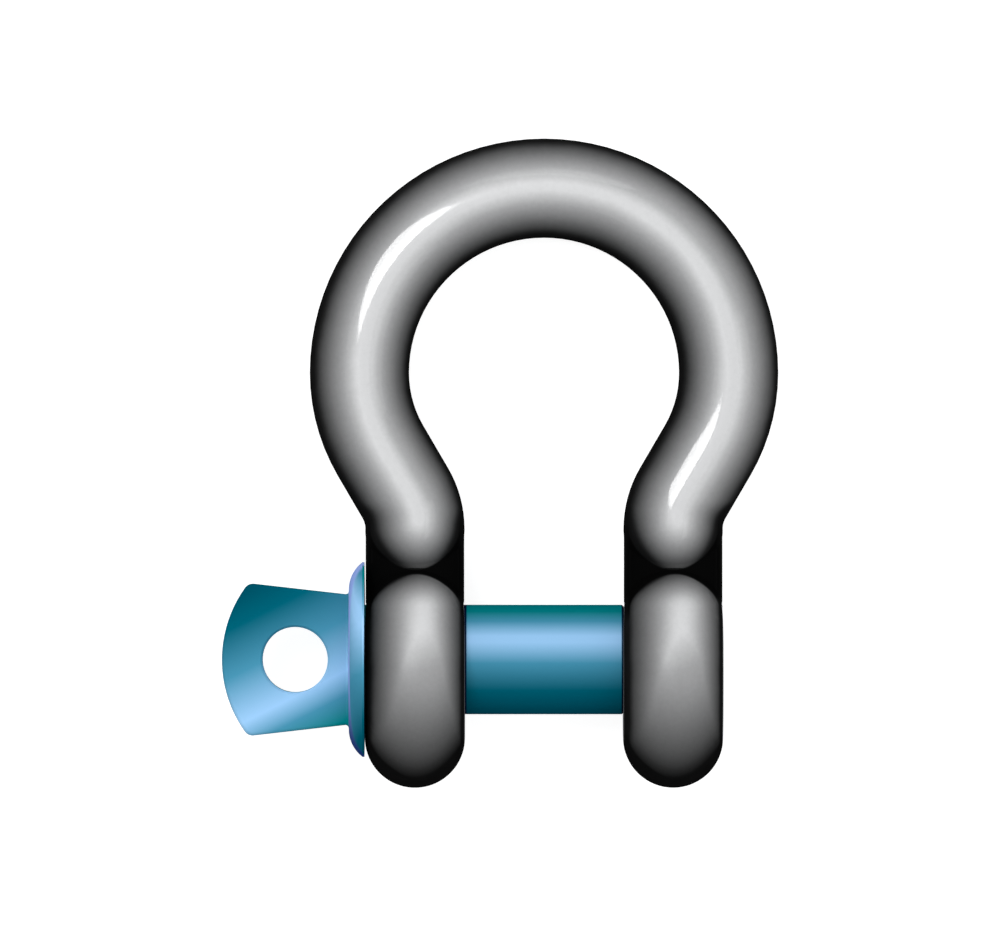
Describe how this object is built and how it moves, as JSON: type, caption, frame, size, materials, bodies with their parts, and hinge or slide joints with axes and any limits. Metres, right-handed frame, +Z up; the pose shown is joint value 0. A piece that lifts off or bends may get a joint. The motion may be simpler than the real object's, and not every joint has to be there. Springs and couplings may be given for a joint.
{
  "type": "screw pin bow shackle",
  "caption": "Forged steel bow shackle with round bar, two round-edged ears and a screw pin with a collar and a flat eyed head; it joins chain, rope or lifting gear.",
  "frame": {"origin": "on the pin's axis, midway between the ears, where the load bears", "axes": "X along the pin with its head at -X; the shackle lies on its side with Z up, on the two ears' round edges and the crown; the bow's crown points to +Y and dips by 7.3 degrees"},
  "size_m": [0.1422, 0.165, 0.0572],
  "materials": {
    "bow_steel": "satin forged steel, dark scale left in the creases under the ears' rims",
    "pin_coat": "teal metallic coating, glossy, worn to steel at the thread"
  },
  "bodies": {
    "bow_body": {"bow": "bow_steel"},
    "pin_body": {"screw_pin": "pin_coat"}
  },
  "joints": [
    {"name": "pin_withdraw", "type": "slide", "parent": "bow_body", "child": "pin_body", "axis": [-1, 0, 0], "range_m": [0, 0.1]}
  ]
}
